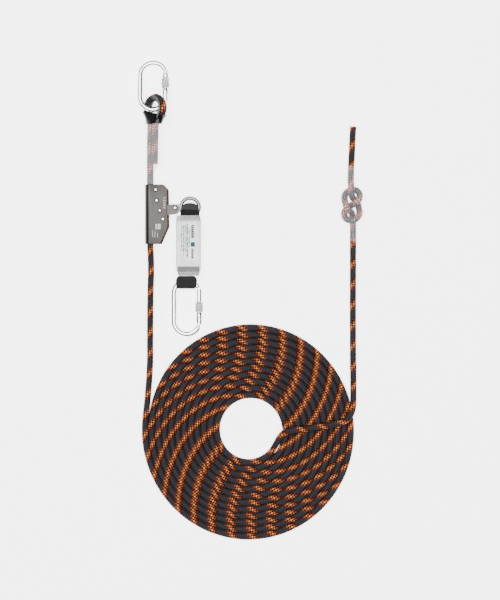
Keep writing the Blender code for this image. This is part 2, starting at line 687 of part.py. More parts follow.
def make_carabiner(name, length, place):
    """Bent steel frame, a gate hinged on its lug, and a screw sleeve on the gate, its nose at the far end."""
    half = length / 2
    arc_v = half - BAR_R - END_R
    pivot, gate_end = -half + 23.5, half - 22.5
    first = -degrees(atan2(-pivot + 5.5 - arc_v, sqrt(END_R**2 - (-pivot + 5.5 - arc_v) ** 2)))
    last = degrees(atan2(gate_end + 1.4 - arc_v, sqrt(END_R**2 - (gate_end + 1.4 - arc_v) ** 2)))
    path = arc(0, -arc_v, END_R, first, -180, 12) + arc(0, arc_v, END_R, 180, last + 9, 12)
    nose = arc(0, arc_v, END_R, last + 8, last, 2)
    radii = [BAR_R] * len(path) + [BAR_R - 1.2] * len(nose)
    centre = [Vector((u, v, 0)) for u, v in path + nose]
    rings = [[place @ p for p in ring] for ring in tube_rings(centre, radii, 12)]
    frame = solid(name + "_frame", *loft(rings), steel())
    axle = place @ Matrix.Translation((GATE_U, pivot, 0))
    lug_outline = capsule(GATE_U, pivot, 3.0, GATE_U - 0.8, pivot - 7.0, 3.0, 8)
    lug = prism(name + "_lug", lug_outline, -2.1, 2.1, steel())
    low, high = (GATE_U + 1.5, gate_end - 3.2, -1.5), (GATE_U + 3.2, gate_end + 2.5, 1.5)
    tongue = box(name + "_tongue", low, high, steel(), place)
    lug.data.transform(Matrix.Scale(MM, 4) @ place @ Matrix.Scale(1 / MM, 4))
    for extra in (lug, tongue):
        extra.hide_render = True
        extra.display_type = "WIRE"
        join = frame.modifiers.new("join_" + extra.name, "BOOLEAN")
        join.operation = "UNION"
        join.object = extra
    cut(frame, turned(name + "_lug_hole", [(0, -9), (1.75, -9), (1.75, 9), (0, 9)], steel(), axle, 12))
    along = place @ Matrix.Translation((GATE_U, 0, 0)) @ Matrix.Rotation(-pi / 2, 4, "X")
    body = [(0, pivot - 3.0), (4.9, pivot - 3.0), (4.9, gate_end), (0, gate_end)]
    gate = turned(name + "_gate", body, steel(), along, 20)
    low, high = (GATE_U - 9, pivot - 9, -2.5), (GATE_U + 9, pivot + 4.2, 2.5)
    slot = box(name + "_slot", low, high, steel(), place)
    low, high = (GATE_U - 9, gate_end - 3.6, -1.9), (GATE_U + 9, gate_end + 5, 1.9)
    notch = box(name + "_notch", low, high, steel(), place)
    bore_profile = [(0, pivot + 1), (2.5, pivot + 1), (2.5, pivot + 26), (0, pivot + 26)]
    bore = turned(name + "_bore", bore_profile, steel(), along, 14)
    pin_hole = turned(name + "_pin_hole", [(0, -9), (1.75, -9), (1.75, 9), (0, 9)], steel(), axle, 12)
    latch = place @ Matrix.Translation((GATE_U, gate_end - 1.7, 0))
    latch_hole = turned(name + "_latch_hole", [(0, -9), (1.15, -9), (1.15, 9), (0, 9)], steel(), latch, 10)
    cut(gate, slot, notch, bore, pin_hole, latch_hole)
    turned(name + "_gate_pin", [(0, -4.4), (1.45, -4.4), (1.45, 4.4), (0, 4.4)], steel(), axle, 12)
    turned(name + "_latch_pin", [(0, -4.2), (0.85, -4.2), (0.85, 4.2), (0, 4.2)], steel(), latch, 10)
    tip = [(0, pivot + 3.4), (1.4, pivot + 4.0), (2.15, pivot + 5.2), (2.15, pivot + 10), (0, pivot + 10)]
    turned(name + "_plunger", tip, steel(), along, 12)
    coil = []
    for t in np.linspace(0, 6, 43):
        turn = 2 * pi * t
        coil.append(place @ Vector((GATE_U + 1.6 * cos(turn), pivot + 10.9 + 2.2 * t, 1.6 * sin(turn))))
    solid(name + "_gate_spring", *loft(tube_rings(coil, [0.45] * 43, 5)), steel())
    end = gate_end - 3.9
    collar = [(5.25, end - 38), (6.9, end - 38), (7.4, end - 37.3), (7.4, end - 18.2), (6.9, end - 17.5)]
    collar += [(6.1, end - 17.5), (6.1, end - 0.8), (5.5, end), (5.25, end)]
    turned(name + "_screw_sleeve", collar, steel(), along, 24)


clear_scene()
make_line()
make_thimble()
make_eye_sleeve()
make_knot_sleeve()
make_housing()
make_rivets()
for roller, outside in (("guide", 4.1), ("spacer", 6.0)):
    centre = RIVETS[roller + "_rivet"]
    ring_on(roller + "_roller", *centre, RIVET_R + GAP, outside, ROLLER_BOTTOM, ROLLER_TOP, steel())
make_lever()
make_spring()
make_link()
make_absorber()
make_carabiner("upper", UPPER_LENGTH, upper_place())
make_carabiner("lower", LOWER_LENGTH, lower_place())
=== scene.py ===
# Looks of a rope grab on its coiled line, with an energy absorber and two carabiners.
# Shapes are in millimetres in the CAD frame, and MM turns them into metres, Blender's unit.
import math

import bmesh
import bpy
import numpy as np
from mathutils import Matrix, Vector


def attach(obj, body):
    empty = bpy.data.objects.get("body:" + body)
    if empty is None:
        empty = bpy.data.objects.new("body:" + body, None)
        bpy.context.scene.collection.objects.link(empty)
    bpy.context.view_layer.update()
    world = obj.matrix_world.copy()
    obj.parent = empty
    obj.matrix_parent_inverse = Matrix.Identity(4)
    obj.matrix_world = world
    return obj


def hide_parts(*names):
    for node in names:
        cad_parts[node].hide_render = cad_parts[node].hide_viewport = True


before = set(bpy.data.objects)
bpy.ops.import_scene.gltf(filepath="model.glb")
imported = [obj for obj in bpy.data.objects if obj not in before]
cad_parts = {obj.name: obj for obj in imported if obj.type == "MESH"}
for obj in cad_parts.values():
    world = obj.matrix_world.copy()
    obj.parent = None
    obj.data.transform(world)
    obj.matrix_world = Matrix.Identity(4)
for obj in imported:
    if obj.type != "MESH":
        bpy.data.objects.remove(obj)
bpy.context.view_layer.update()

MM = 0.001

# -------------------- camera, floor and light

VIEW_X = 183.6
VIEW_Y = -157.3
FRAME_HEIGHT = 1104.0
LENS = 100.0
SENSOR = 36.0
AIM_Z = 10
FAR_CLIP = 50
FLOOR_HALF = 14.0
FLOOR_GLOW = 3.4
CEILING_EDGE = (0.79, 0.89)
CEILING_LIGHT = 7.0
WALL_LIGHT = 0.02
KEY_PLACE = (-1.1, 1.3, 2.4)
KEY_SIZE = (1.2, 0.9)
KEY_POWER = 30


def add_object(name, data):
    found = bpy.data.objects.new(name, data)
    bpy.context.scene.collection.objects.link(found)
    return found


def set_inputs(node, values):
    for name, value in values.items():
        node.inputs[name].default_value = value


def make_camera():
    data = bpy.data.cameras.new("camera")
    data.lens = LENS
    data.sensor_width = SENSOR
    camera = add_object("camera", data)
    height = FRAME_HEIGHT * LENS / SENSOR + AIM_Z
    camera.location = Vector((VIEW_X, VIEW_Y, height)) * MM
    data.clip_end = FAR_CLIP
    bpy.context.scene.camera = camera


def make_key_light():
    data = bpy.data.lights.new("key", "AREA")
    data.shape = "RECTANGLE"
    data.size, data.size_y = KEY_SIZE
    data.energy = KEY_POWER
    light = add_object("key", data)
    light.location = KEY_PLACE
    target = Vector((VIEW_X * MM, VIEW_Y * MM, 0))
    light.rotation_euler = (target - Vector(KEY_PLACE)).to_track_quat("-Z", "Y").to_euler()


def make_world():
    """A studio whose ceiling is white round the zenith and whose walls are dark."""
    world = bpy.data.worlds.new("studio")
    bpy.context.scene.world = world
    world.use_nodes = True
    nodes = world.node_tree.nodes
    links = world.node_tree.links
    background = nodes["Background"]
    place = nodes.new("ShaderNodeTexCoord")
    split = nodes.new("ShaderNodeSeparateXYZ")
    ramp = nodes.new("ShaderNodeMapRange")
    ramp.interpolation_type = "SMOOTHSTEP"
    low, high = CEILING_EDGE
    set_inputs(ramp, {"From Min": low, "From Max": high, "To Min": WALL_LIGHT, "To Max": CEILING_LIGHT})
    links.new(place.outputs["Generated"], split.inputs["Vector"])
    links.new(split.outputs["Z"], ramp.inputs["Value"])
    links.new(ramp.outputs["Result"], background.inputs["Strength"])
    background.inputs["Color"].default_value = (1, 1, 1, 1)


def make_stage():
    make_world()
    mesh = bpy.data.meshes.new("floor")
    half = FLOOR_HALF
    corners = [(-half, -half, 0), (half, -half, 0), (half, half, 0), (-half, half, 0)]
    mesh.from_pydata(corners, [], [(0, 1, 2, 3)])
    add_object("floor", mesh)
    material, _, _, shader = new_material("floor_white")
    set_inputs(shader, {"Base Color": (0.9, 0.9, 0.9, 1), "Roughness": 1.0, "Specular IOR Level": 0.0,
                        "Emission Color": (1, 1, 1, 1), "Emission Strength": FLOOR_GLOW})
    mesh.materials.append(material)
    make_key_light()


# -------------------- materials


def new_material(name):
    material = bpy.data.materials.new(name)
    material.use_nodes = True
    nodes = material.node_tree.nodes
    shader = nodes["Principled BSDF"]
    return material, nodes, material.node_tree.links, shader


def noise(nodes, links, scale, detail=3.0, stretch=(1, 1, 1)):
    coords = nodes.new("ShaderNodeTexCoord")
    mapping = nodes.new("ShaderNodeMapping")
    mapping.inputs["Scale"].default_value = stretch
    links.new(coords.outputs["Object"], mapping.inputs["Vector"])
    texture = nodes.new("ShaderNodeTexNoise")
    set_inputs(texture, {"Scale": scale, "Detail": detail})
    links.new(mapping.outputs["Vector"], texture.inputs["Vector"])
    return texture.outputs["Fac"]


def remap(nodes, links, value, low, high):
    """A noise's middle half spread over the range from low to high."""
    node = nodes.new("ShaderNodeMapRange")
    set_inputs(node, {"From Min": 0.25, "From Max": 0.75, "To Min": low, "To Max": high})
    links.new(value, node.inputs["Value"])
    return node.outputs["Result"]


def bump(nodes, links, shader, height, strength, distance):
    """Relief of up to this distance in millimetres."""
    node = nodes.new("ShaderNodeBump")
    set_inputs(node, {"Strength": strength, "Distance": distance * MM})
    links.new(height, node.inputs["Height"])
    links.new(node.outputs["Normal"], shader.inputs["Normal"])


def tinted(nodes, links, shader, colour, dark, light, factor):
    """The colour times dark where the factor is 0, and times light where it is 1."""
    tint = nodes.new("ShaderNodeMix")
    tint.data_type = "RGBA"
    set_inputs(tint, {"A": (*(dark * c for c in colour), 1), "B": (*(light * c for c in colour), 1)})
    links.new(factor, tint.inputs["Factor"])
    links.new(tint.outputs["Result"], shader.inputs["Base Color"])


# -------------------- routes

ROPE_Z = 9.6
COIL_Z = 6.0
COIL_X = 182.7
COIL_Y = -397.3
COIL_R = 192.5
COIL_PITCH = 12.0
COIL_TURNS = 11.38
COIL_STRETCH = 1.03
COIL_STEPS = 120
EYE_PLACE = Vector((9.85, 194.5, 21.6))
EYE_R = 20.5
EYE_TURN = math.radians(45)
NECK_Y = 167.0
NECK_HALF = 6.6
NECK_SHIFT = Vector((-3.6, 0, -0.8))
KNOT_PLACE = Vector((371, 17.2, 14))
SPLINE_PARTS = 16


def evenly_smooth(points, step):
    """Evenly spaced points on a smooth curve through the given ones."""
    line = [Vector(p) for p in points]
    line = [line[0] * 2 - line[1]] + line + [line[-1] * 2 - line[-2]]
    fine = []
    for a, b, c, d in zip(line, line[1:], line[2:], line[3:]):
        for part in range(SPLINE_PARTS):
            t = part / SPLINE_PARTS
            fine.append(0.5 * (2 * b + (c - a) * t + (2 * a - 5 * b + 4 * c - d) * t * t
                               + (3 * b - a - 3 * c + d) * t ** 3))
    fine.append(line[-2])
    return evenly(fine, step)


def evenly(fine, step):
    """The same line with its points about this step apart, measured along it."""
    points = np.array([tuple(p) for p in fine])
    along = np.concatenate([[0], np.cumsum(np.linalg.norm(np.diff(points, axis=0), axis=1))])
    count = max(2, round(along[-1] / step) + 1)
    places = np.linspace(0, along[-1], count)
    return np.stack([np.interp(places, along, points[:, axis]) for axis in range(3)], axis=1)


def eye_point(along, across, y):
    """A point of the eye's plane, which is turned about Y: along its width, across it, and a height y."""
    c = math.cos(EYE_TURN)
    s = math.sin(EYE_TURN)
    return Vector((EYE_PLACE.x + along * c - across * s, y, EYE_PLACE.z + along * s + across * c))


def neck_point(along):
    """A point of the neck below the eye, which is pressed a little to the left and down."""
    return eye_point(along, 0, NECK_Y) + NECK_SHIFT


def eye_end_route():
    """From the sewn tail up round the eye, down through the grab and along to the coil's first turn."""
    tail = [(8.9, 92, 19.8), (9.1, 118, 21.6), (9.9, 145, 23.8)]
    loop = []
    for degrees in range(-20, 201, 20):
        angle = math.radians(degrees)
        loop.append(eye_point(EYE_R * math.cos(angle), 0, EYE_PLACE.y + EYE_R * math.sin(angle)))
    eye = [neck_point(NECK_HALF), eye_point(12.2, 0, NECK_Y + 9)] + loop
    eye += [eye_point(-12.2, 0, NECK_Y + 9), neck_point(-NECK_HALF)]
    lead = [(0.7, 145, 14.4), (0.2, 118, 12.6), (0, 92, 11), (0, 70, 9.7)]
    lead += [(0, y, ROPE_Z) for y in (50, 25, 0, -25, -56)]
    lead += [(0.9, -75, 9), (1.4, -92, 7.6), (1.2, -112, 6.5), (0.4, -140, 6.1), (-0.2, -180, 6.1)]
    lead += [(-0.4, -230, 6.1), (-0.5, -270, 6.1), (-1.6, -295, 6.1), (-3.3, -318, 6.1)]
    lead += [(-5.4, -343, 6.1), (-8, -367, 6.1), (-9.7, -385, 6.1), (-9.8, -396.3, 6.1)]
    return tail + eye + lead


def coil_point(turns):
    """The line's middle after this many turns inward from the coil's left side."""
    angle = math.pi + 2 * math.pi * turns
    r = COIL_R - COIL_PITCH * turns
    return Vector((COIL_X + r * math.cos(angle), COIL_Y + COIL_STRETCH * r * math.sin(angle), COIL_Z))


def coil_route():
    steps = round(COIL_TURNS * COIL_STEPS)
    return [coil_point(COIL_TURNS * i / steps) for i in range(1, steps)]


def return_route():
    """Up out of the coil's middle, over its turns, down beside them, and up to the knot and the bare end."""
    start = coil_point(COIL_TURNS)
    tangent = (coil_point(COIL_TURNS + 0.01) - start).normalized()
    rise = [start + tangent * 2.4 + Vector((-0.3, 0.3, 0.1)), (228.4, -428, 7.6), (233.2, -419.4, 10.8)]
    rise += [(237.6, -410.8, 14.4), (243.4, -403.4, 17.6), (252.5, -399, 18.7)]
    over = [(270, -396, 18.6), (295, -392.4, 18.6), (320, -388.6, 18.6), (343, -384.6, 18.6)]
    down = [(357, -379.6, 18.6), (366.5, -370.8, 18.7), (371.3, -360, 17.4), (373.2, -350, 14)]
    down += [(373.8, -338, 9.6), (374, -322, 6.8)]
    strand = [(373.9, -295, 6.1), (373.4, -250, 6.1), (373.2, -200, 6.1)]
    strand += [(373.2, -150, 6.1), (373.4, -100, 6.1)]
    return rise + over + down + strand + knot_route()


def knot_route():
    """A figure-eight stopper knot, its own point mirror about its centre, and the bare end above it."""
    half = [(2.4, -46, -7.6), (2, -32, -6.8), (1.2, -21, -5.4), (-1.2, -13.6, 1.2), (-6, -9.8, 6.8)]
    half += [(-10.7, -3, 7.6), (-13, 5.5, 4), (-13.8, 14, -1.5), (-11.2, 21.5, -5.8), (-4.8, 27, -7.5)]
    half += [(3.2, 28.4, -7.2), (10.2, 26, -4), (14, 19.5, 0.4), (13.5, 12, 4.2)]
    half += [(8.8, 5.6, 5.8), (3.5, 1.8, 3.6)]
    other = [(-x, -y, -z) for x, y, z in half[:0:-1]]
    knot = [Vector(p) + KNOT_PLACE for p in half + [(0, 0, 0)] + other]
    end = [(368.9, 64, 15), (369.4, 78, 8.2), (370.2, 92, 6.2), (371.4, 115, 6.1), (372.4, 140, 6.1)]
    return knot + end + [(373.8, 162, 6.1)]


def moving_frames(centres):
    """For each centre, two unit vectors across the curve that turn with it and never twist about it."""
    tangents = np.gradient(centres, axis=0)
    tangents /= np.linalg.norm(tangents, axis=1)[:, None]
    first = np.array([0.0, 0.0, 1.0])
    normals = np.empty_like(centres)
    for i, tangent in enumerate(tangents):
        first = first - tangent * first.dot(tangent)
        first /= np.linalg.norm(first)
        normals[i] = first
    return normals, np.cross(tangents, normals)


# -------------------- rope

ROPE_R = 6.0
ROPE_R_KNOT = 5.9
COIL_LEVEL = COIL_Z + 0.05
COIL_SWELL = 0.32
COIL_SPREAD = 0.2
RETURN_X = 330
EYE_RIGHT = 40
EYE_SLEEVE = (56, 168)
KNOT_SLEEVE = (-49, 88.5)
KNOT_ENDS = (-60, -45, 85, 100)
YARNS = 9
CORNER_SINK = 0.2
CREST_RISE = 0.1
RING_STEP = math.pi * ROPE_R / YARNS
ROUTE_STEP = 3
YARN_DEPTH = 0.4
YARN_ROUNDNESS = 0.6
PLIES = 3
PLY_HEIGHT = 0.22
SLOT_CHARCOAL, SLOT_LIGHT, SLOT_SHADE_UNDER, SLOT_ORANGE, SLOT_ORANGE_LIGHT, SLOT_RED = range(6)
# The under colour in each palette is painted shade: yarns that cross under the orange band are made much
# darker than the other black yarns.
BARE = {"charcoal": (0.0145, 0.0138, 0.0158), "light": (0.024, 0.0225, 0.026),
        "under": (0.0008, 0.0008, 0.001), "orange": (0.31, 0.075, 0.02),
        "orange_light": (0.6, 0.225, 0.075), "red": (0.08, 0.01, 0.007)}
MILKY = {"charcoal": (0.12, 0.12, 0.124), "light": (0.15, 0.15, 0.154), "under": (0.07, 0.07, 0.073),
         "orange": (0.72, 0.33, 0.28), "orange_light": (0.85, 0.56, 0.5), "red": (0.6, 0.2, 0.19)}
TIGHT = {"charcoal": (0.03, 0.033, 0.034), "light": (0.065, 0.07, 0.072), "under": (0.012, 0.013, 0.014),
         "orange": (0.62, 0.17, 0.14), "orange_light": (0.8, 0.4, 0.34), "red": (0.42, 0.07, 0.065)}
BAND = (SLOT_RED, SLOT_ORANGE, SLOT_ORANGE_LIGHT, SLOT_ORANGE, SLOT_RED)


def yarn_material(name, colour):
    """One diamond of braid: a bulging yarn with fine plies along the diamond's first direction."""
    material, nodes, links, shader = new_material(name)
    set_inputs(shader, {"Base Color": (*colour, 1), "Specular IOR Level": 0.09})
    rough = remap(nodes, links, noise(nodes, links, 900), 0.52, 0.78)
    links.new(rough, shader.inputs["Roughness"])
    place = nodes.new("ShaderNodeTexCoord")
    split = nodes.new("ShaderNodeSeparateXYZ")
    links.new(place.outputs["UV"], split.inputs["Vector"])

    def joined(operation, a, b):
        node = nodes.new("ShaderNodeMath")
        node.operation = operation
        for socket, value in zip(node.inputs, (a, b)):
            if isinstance(value, (int, float)):
                socket.default_value = value
            else:
                links.new(value, socket)
        return node.outputs["Value"]

    def crown(value):
        return joined("MULTIPLY", joined("MULTIPLY", value, joined("SUBTRACT", 1.0, value)), 4.0)

    bulge = joined("MULTIPLY", crown(split.outputs["X"]), crown(split.outputs["Y"]))
    pillow = joined("POWER", bulge, YARN_ROUNDNESS)
    wave = joined("SINE", joined("MULTIPLY", split.outputs["Y"], PLIES * math.pi), 0.0)
    plies = joined("ABSOLUTE", wave, 0.0)
    height = joined("ADD", pillow, joined("MULTIPLY", plies, PLY_HEIGHT))
    bump(nodes, links, shader, height, 1.0, YARN_DEPTH)
    return material


def rope_radius(point):
    """Half the line's thickness. The coil's turns swell until they touch their neighbours, most of all at the
    coil's top and bottom, where the turns lie further apart, and the knot's sleeve squeezes the line."""
    x, y, z = point
    if y < COIL_Y + COIL_R and z < COIL_LEVEL:
        out = (y - COIL_Y) / (COIL_STRETCH * math.hypot(x - COIL_X, y - COIL_Y) + 1)
        return ROPE_R + COIL_SWELL + COIL_SPREAD * min(1, abs(out))
    if x < RETURN_X:
        return ROPE_R
    inside = np.interp(y, KNOT_ENDS, (0, 1, 1, 0))
    return ROPE_R + (ROPE_R_KNOT - ROPE_R) * inside


def sleeve_of(point):
    """0 for bare line, 1 under the eye's frosted sleeve, and 2 under the knot's."""
    x, y, _ = point
    if x > RETURN_X and KNOT_SLEEVE[0] < y < KNOT_SLEEVE[1]:
        return 2
    return 1 if x < EYE_RIGHT and EYE_SLEEVE[0] < y < EYE_SLEEVE[1] else 0


def braid_points(centres):
    """The sunken corners of the diamonds, ring by ring, and after all of those their raised crests, which lie
    half a yarn further round than their ring's corners."""
    normals, sides = moving_frames(centres)
    corners, crests = [], []
    for ring, centre in enumerate(centres):
        radius = rope_radius(centre)
        for half, found, r in ((0.5 * (ring % 2), corners, radius - CORNER_SINK),
                               (0.5 * ((ring + 1) % 2), crests, radius + CREST_RISE)):
            angle = 2 * math.pi * (np.arange(YARNS) + half) / YARNS
            across = np.cos(angle)[:, None] * normals[ring] + np.sin(angle)[:, None] * sides[ring]
            found.append(centre + r * across)
    return [tuple(p) for p in np.concatenate(corners + crests) * MM]


def braid_faces(rings, sleeved):
    """Four triangles to each diamond, with their material slots and their corners' places on the yarn. Yarns
    that lean one way carry the orange band, and the others pass under it."""
    faces, slots, places = [], [], []
    for ring in range(rings - 2):
        shift = ring % 2
        for j in range(YARNS):
            low = ring * YARNS + j
            left = (ring + 1) * YARNS + (j - 1 + shift) % YARNS
            right = (ring + 1) * YARNS + (j + shift) % YARNS
            high = (ring + 2) * YARNS + j
            crest = (rings + ring + 1) * YARNS + j
            yarn = (j - ring // 2) % YARNS
            if shift:
                # Yarns crossing under the band get the painted shade colour. The yarns further off get the
                # lighter charcoal.
                slot = SLOT_SHADE_UNDER if yarn < len(BAND) - 1 else SLOT_LIGHT
                square = ((0, 0), (1, 0), (1, 1), (0, 1))
            else:
                slot = BAND[yarn] if yarn < len(BAND) else SLOT_CHARCOAL
                square = ((0, 0), (0, 1), (1, 1), (1, 0))
            around = (low, left, high, right)
            for k in range(4):
                faces.append((around[k], around[(k + 1) % 4], crest))
                slots.append(slot + len(BARE) * sleeved[ring + 1])
                places += [square[k], square[(k + 1) % 4], (0.5, 0.5)]
    for ring, near, turned in ((0, 1, False), (rings - 1, rings - 2, True)):
        cap = [ring * YARNS + j for j in range(YARNS)]
        for j in range(YARNS):
            edge = (cap[j], cap[(j + 1) % YARNS], near * YARNS + (j + ring % 2) % YARNS)
            faces.append(edge[::-1] if turned else edge)
            slots.append(SLOT_CHARCOAL)
            places += [(0.2, 0.2), (0.8, 0.2), (0.5, 0.8)]
        faces.append(tuple(cap if turned else cap[::-1]))
        slots.append(SLOT_LIGHT)
        places += [(0.5, 0.5)] * YARNS
    return faces, slots, places


def make_rope():
    """The whole line as one braided sheath, returned with its middle line and its length in metres."""
    start = evenly_smooth(eye_end_route(), ROUTE_STEP)
    end = evenly_smooth(return_route(), ROUTE_STEP)
    line = [tuple(p) for p in start] + [tuple(p) for p in coil_route()] + [tuple(p) for p in end]
    centres = evenly(line, RING_STEP)
    faces, slots, places = braid_faces(len(centres), [sleeve_of(p) for p in centres])
    mesh = bpy.data.meshes.new("rope")
    mesh.from_pydata(braid_points(centres), [], faces)
    mesh.polygons.foreach_set("material_index", slots)
    mesh.polygons.foreach_set("use_smooth", [True] * len(faces))
    ends = np.empty(len(mesh.edges) * 2, dtype=np.int32)
    mesh.edges.foreach_get("vertices", ends)
    between_corners = ends.reshape(-1, 2).max(axis=1) < len(centres) * YARNS
    mesh.edges.foreach_set("use_edge_sharp", between_corners)
    layer = mesh.uv_layers.new(name="yarns")
    layer.data.foreach_set("uv", np.array(places, dtype=np.float32).reshape(-1))
    for prefix, palette in (("rope_", BARE), ("rope_sleeved_", MILKY), ("rope_knotted_", TIGHT)):
        for name, colour in palette.items():
            mesh.materials.append(yarn_material(prefix + name, colour))
    rope = add_object("rope_line", mesh)
    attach(rope, "rope")
    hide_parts("rope_lead", "rope_coil", "rope_return")
    length = float(np.linalg.norm(np.diff(centres, axis=0), axis=1).sum()) * MM
    path = [tuple(float(v) for v in p) for p in centres * MM]
    return rope, path, length


# -------------------- finishes

SURFACE_RELIEF = 0.05
FILM_RELIEF = 0.6
WEAVE_RELIEF = 0.35
BEVEL_SEGMENTS = 3
BEVEL_ANGLE = math.radians(35)


def steel_material(name, colour, low, high, brushed=(1, 1, 1), scratch=0.25):
    """Cloudy metal with a roughness between low and high, scratched along the axis whose stretch is small."""
    material, nodes, links, shader = new_material(name)
    shader.inputs["Metallic"].default_value = 1.0
    cloud = noise(nodes, links, 90, 4)
    lines = noise(nodes, links, 900, 3, brushed)
    tinted(nodes, links, shader, colour, 0.86, 1, remap(nodes, links, cloud, 0, 1))
    links.new(remap(nodes, links, lines, low, high), shader.inputs["Roughness"])
    bump(nodes, links, shader, lines, scratch, SURFACE_RELIEF)
    return material


def plastic_material(name, colour, low, high):
    """Fine-grained plastic, paper or ink with a roughness between low and high."""
    material, nodes, links, shader = new_material(name)
    fine = noise(nodes, links, 1400, 3)
    cloud = noise(nodes, links, 60, 3)
    tinted(nodes, links, shader, colour, 0.75, 1.25, remap(nodes, links, cloud, 0, 1))
    shader.inputs["Specular IOR Level"].default_value = 0.3
    links.new(remap(nodes, links, fine, low, high), shader.inputs["Roughness"])
    bump(nodes, links, shader, fine, 0.4, SURFACE_RELIEF)
    return material


def clear_material(name, colour, alpha, roughness, gloss=0.5):
    """Frosted or clear plastic film that shows what is behind it."""
    material, nodes, links, shader = new_material(name)
    set_inputs(shader, {"Base Color": (*colour, 1), "Alpha": alpha, "Specular IOR Level": gloss})
    wrinkles = noise(nodes, links, 160, 4, (1.6, 0.5, 1.0))
    links.new(remap(nodes, links, wrinkles, roughness * 0.6, roughness * 1.3), shader.inputs["Roughness"])
    bump(nodes, links, shader, wrinkles, 0.5, FILM_RELIEF)
    return material


def webbing_material(name, colour):
    """Woven tape: ribs along the tape's length crossed by fine picks."""
    material, nodes, links, shader = new_material(name)
    coords = nodes.new("ShaderNodeTexCoord")
    ribs = nodes.new("ShaderNodeTexWave")
    ribs.bands_direction = "X"
    set_inputs(ribs, {"Scale": 110, "Distortion": 0.4})
    picks = nodes.new("ShaderNodeTexWave")
    picks.bands_direction = "Y"
    picks.inputs["Scale"].default_value = 190
    for texture in (ribs, picks):
        links.new(coords.outputs["Object"], texture.inputs["Vector"])
    both = nodes.new("ShaderNodeMath")
    both.operation = "MULTIPLY"
    links.new(ribs.outputs["Fac"], both.inputs[0])
    links.new(picks.outputs["Fac"], both.inputs[1])
    tinted(nodes, links, shader, colour, 0.55, 1.5, both.outputs["Value"])
    set_inputs(shader, {"Specular IOR Level": 0.2, "Sheen Weight": 0.05})
    links.new(remap(nodes, links, noise(nodes, links, 700), 0.6, 0.9), shader.inputs["Roughness"])
    bump(nodes, links, shader, both.outputs["Value"], 0.8, WEAVE_RELIEF)
    return material


def dress(name, material, bevel=0.0):
    """Gives a CAD node its finish, and softens its edges by this width."""
    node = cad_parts[name]
    node.data.materials.clear()
    node.data.materials.append(material)
    if bevel:
        modifier = node.modifiers.new("edges", "BEVEL")
        modifier.width = bevel * MM
        modifier.segments = BEVEL_SEGMENTS
        modifier.limit_method = "ANGLE"
        modifier.angle_limit = BEVEL_ANGLE
        modifier.harden_normals = True


def dress_cad_nodes():
    """Finishes every CAD node that is seen as it is. Returns three steels that other pieces share."""
    bright = steel_material("bright_zinc", (0.95, 0.955, 0.97), 0.04, 0.11, (1, 0.2, 1), 0.06)
    rivet = steel_material("rivet_steel", (0.88, 0.87, 0.86), 0.12, 0.26)
    plate = steel_material("brushed_plate", (0.054, 0.05, 0.048), 0.26, 0.42, (1, 0.03, 1), 0.5)
    arm = steel_material("arm_plate", (0.072, 0.064, 0.059), 0.28, 0.44, (0.1, 1, 1), 0.4)
    link = steel_material("link_satin", (0.2, 0.2, 0.205), 0.2, 0.34)
    spring = steel_material("spring_wire", (0.55, 0.54, 0.52), 0.2, 0.35)
    for which in ("upper", "lower"):
        for part in ("gate", "gate_pin", "latch_pin"):
            dress(f"{which}_{part}", bright, 0.25 if part == "gate" else 0.15)
        dress(f"{which}_gate_spring", spring)
        dress(f"{which}_plunger", spring)
    for name in ("guide_rivet", "spacer_rivet", "cam_rivet", "stop_rivet", "arm_rivet"):
        dress(name, rivet, 0.2)
    for name in ("guide_roller", "spacer_roller", "cam_bush"):
        dress(name, rivet, 0.25)
    dress("cam_spring", spring)
    dress("cam", arm, 0.25)
    for name in ("rear_arm_plate", "front_arm_plate"):
        dress(name, arm, 0.45)
    dress("eye_link", link, 0.3)
    # Painted shade: a darker zinc laid into the knurl's hollows and the sleeve's waist and grooves.
    recess_shade = steel_material("recess_painted_shade", (0.3, 0.3, 0.31), 0.3, 0.5)
    return bright, plate, recess_shade


# -------------------- mesh helpers


def loft_mesh(rings, along=False):
    """Quads through closed rings of equal count. The last ring joins the first, or else both are capped."""
    count = len(rings[0])
    verts = [tuple(Vector(p) * MM) for ring in rings for p in ring]
    faces = []
    steps = len(rings) if along else len(rings) - 1
    for i in range(steps):
        low = i * count
        high = (i + 1) % len(rings) * count
        for k in range(count):
            after = (k + 1) % count
            faces.append((low + k, low + after, high + after, high + k))
    if not along:
        faces.append(tuple(range(count))[::-1])
        faces.append(tuple(range((len(rings) - 1) * count, len(rings) * count)))
    mesh = bpy.data.meshes.new("shape")
    mesh.from_pydata(verts, [], faces)
    return mesh


def shell_mesh(outer, inner):
    """A closed skin between two lofts of equal count that run the same way."""
    return loft_mesh(outer + inner[::-1], along=True)


def finished(name, meshes, material, body, stands_for=(), smooth_angle=40):
    """One object from these meshes, with normals outward and edges sharper than the angle kept."""
    bm = bmesh.new()
    for mesh in meshes:
        bm.from_mesh(mesh)
        bpy.data.meshes.remove(mesh)
    bmesh.ops.recalc_face_normals(bm, faces=bm.faces)
    whole = bpy.data.meshes.new(name)
    bm.to_mesh(whole)
    bm.free()
    for face in whole.polygons:
        face.use_smooth = True
    whole.set_sharp_from_angle(angle=math.radians(smooth_angle))
    whole.materials.append(material)
    piece = add_object(name, whole)
    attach(piece, body)
    if stands_for:
        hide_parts(*stands_for)
    return piece


def circle_points(cx, cy, r, start, end, steps):
    """Points on an arc from start to end, in degrees."""
    found = []
    for k in range(steps + 1):
        angle = math.radians(start + (end - start) * k / steps)
        found.append((cx + r * math.cos(angle), cy + r * math.sin(angle)))
    return found


def tube_rings(points, radii, sides):
    """Circles across the line through these points, each with its own radius."""
    centres = np.array([tuple(p) for p in points], dtype=float)
    normals, across = moving_frames(centres)
    angles = [2 * math.pi * k / sides for k in range(sides)]
    rings = []
    for centre, normal, side, r in zip(centres, normals, across, radii):
        rings.append([centre + (normal * math.cos(a) + side * math.sin(a)) * r for a in angles])
    return rings


def rectangle(x0, y0, x1, y1):
    return [(x0, y0), (x1, y0), (x1, y1), (x0, y1)]


